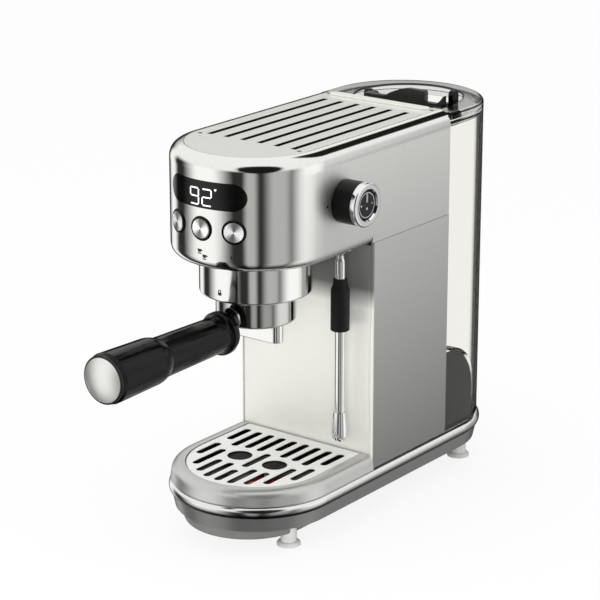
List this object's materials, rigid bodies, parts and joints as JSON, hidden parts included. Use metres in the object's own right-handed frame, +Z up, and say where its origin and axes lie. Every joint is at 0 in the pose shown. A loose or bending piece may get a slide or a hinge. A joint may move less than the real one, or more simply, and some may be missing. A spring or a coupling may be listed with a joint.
{
  "type": "espresso machine",
  "caption": "Slim pump espresso machine with a round-fronted steel head, lever-handled portafilter, steam wand and knob, drip tray and rear water tank.",
  "frame": {"origin": "middle of the outer box in plan, on the counter under the feet", "axes": "+Z up, front with the portafilter's handle towards -Y, steam knob and wand on the +X side"},
  "size_m": [0.1464, 0.416, 0.2994],
  "materials": {
    "polished_steel": "polished",
    "satin_steel": "satin",
    "brushed_side": "brushed",
    "silver_plastic": "satin silver",
    "satin_alloy": "satin",
    "grey_moulding": "matte",
    "black_plastic": "satin",
    "black_gloss": "gloss",
    "dark_plastic": "satin",
    "light_plastic": "satin",
    "clear_plastic": "clear",
    "red_plastic": "gloss",
    "pale_rubber": "matte",
    "black_rubber": "matte",
    "silicone": "satin",
    "aluminium": "machined",
    "brass": "machined",
    "iron": "painted",
    "circuit_board": "satin"
  },
  "bodies": {
    "machine": {"base_shell": "silver_plastic", "base_trim_ring": "polished_steel", "base_cover": "grey_moulding", "cover_screws": "satin_steel", "feet": "pale_rubber", "cord_gland": "black_rubber", "column_front": "polished_steel", "column_side_left": "brushed_side", "column_side_right": "brushed_side", "column_back": "grey_moulding", "head_shell": "polished_steel", "head_bottom_plate": "satin_steel", "top_panel": "satin_alloy", "rear_trim_bar": "satin_steel", "top_screws": "black_plastic", "display_window": "black_gloss", "display_module": "black_plastic", "front_carrier": "black_plastic", "button_bezels": "black_plastic", "button_switches": "black_plastic", "valve_body": "brass", "wand_nut": "polished_steel", "group_collar": "polished_steel", "group_head": "aluminium", "group_gasket": "black_rubber", "shower_screen": "satin_steel", "shower_screw": "satin_steel", "tank_dock": "dark_plastic", "dock_seal": "black_rubber", "thermoblock": "aluminium", "pump": "iron", "main_board": "circuit_board", "water_hoses": "silicone"},
    "tray": {"drip_tray": "silver_plastic"},
    "grille": {"drip_grille": "polished_steel"},
    "float": {"drip_float": "red_plastic"},
    "left_button": {"button_left": "aluminium"},
    "middle_button": {"button_middle": "aluminium"},
    "right_button": {"button_right": "aluminium"},
    "knob": {"knob_body": "black_plastic", "knob_ring": "polished_steel", "knob_dial": "dark_plastic", "valve_stem": "brass"},
    "wand": {"wand_tube": "polished_steel", "wand_sleeve": "black_rubber", "wand_tip": "polished_steel"},
    "portafilter": {"portafilter_body": "polished_steel", "filter_basket": "satin_steel", "spout": "polished_steel", "handle_grip": "black_plastic", "handle_cap": "polished_steel"},
    "tank": {"tank_shell": "clear_plastic", "tank_lid": "light_plastic", "handle_lugs": "black_plastic", "tank_valve": "dark_plastic"},
    "bail": {"tank_handle": "dark_plastic"}
  },
  "joints": [
    {"name": "left_button_press", "type": "slide", "parent": "machine", "child": "left_button", "axis": [0.4067, 0.9135, 0], "range_m": [0, 0.0015], "stiffness_N_per_m": 1000},
    {"name": "middle_button_press", "type": "slide", "parent": "machine", "child": "middle_button", "axis": [0, 1, 0], "range_m": [0, 0.0015], "stiffness_N_per_m": 1000},
    {"name": "right_button_press", "type": "slide", "parent": "machine", "child": "right_button", "axis": [-0.4067, 0.9135, 0], "range_m": [0, 0.0015], "stiffness_N_per_m": 1000},
    {"name": "knob_turn", "type": "hinge", "parent": "machine", "child": "knob", "pos_m": [0.0525, -0.0144, 0.2534], "axis": [1, 0, 0], "range_deg": [0, 90]},
    {"name": "wand_swing", "type": "hinge", "parent": "machine", "child": "wand", "pos_m": [0.033, 0.0078, 0.211], "axis": [0, -1, 0], "range_deg": [0, 40]},
    {"name": "portafilter_twist", "type": "hinge", "parent": "machine", "child": "portafilter", "pos_m": [-0.0085, -0.0382, 0.1826], "axis": [0, 0, 1], "range_deg": [-45, 0]},
    {"name": "tray_slide", "type": "slide", "parent": "machine", "child": "tray", "axis": [0, -1, 0], "range_m": [0, 0.115]},
    {"name": "grille_lift", "type": "slide", "parent": "tray", "child": "grille", "axis": [0, 0, 1], "range_m": [0, 0.008]},
    {"name": "float_rise", "type": "slide", "parent": "tray", "child": "float", "axis": [0, 0, 1], "range_m": [0, 0.0022]},
    {"name": "tank_lift", "type": "slide", "parent": "machine", "child": "tank", "axis": [0, 0, 1], "range_m": [0, 0.08]},
    {"name": "bail_fold", "type": "hinge", "parent": "tank", "child": "bail", "pos_m": [-0.0085, 0.1548, 0.286], "axis": [-1, 0, 0], "range_deg": [0, 90]}
  ]
}
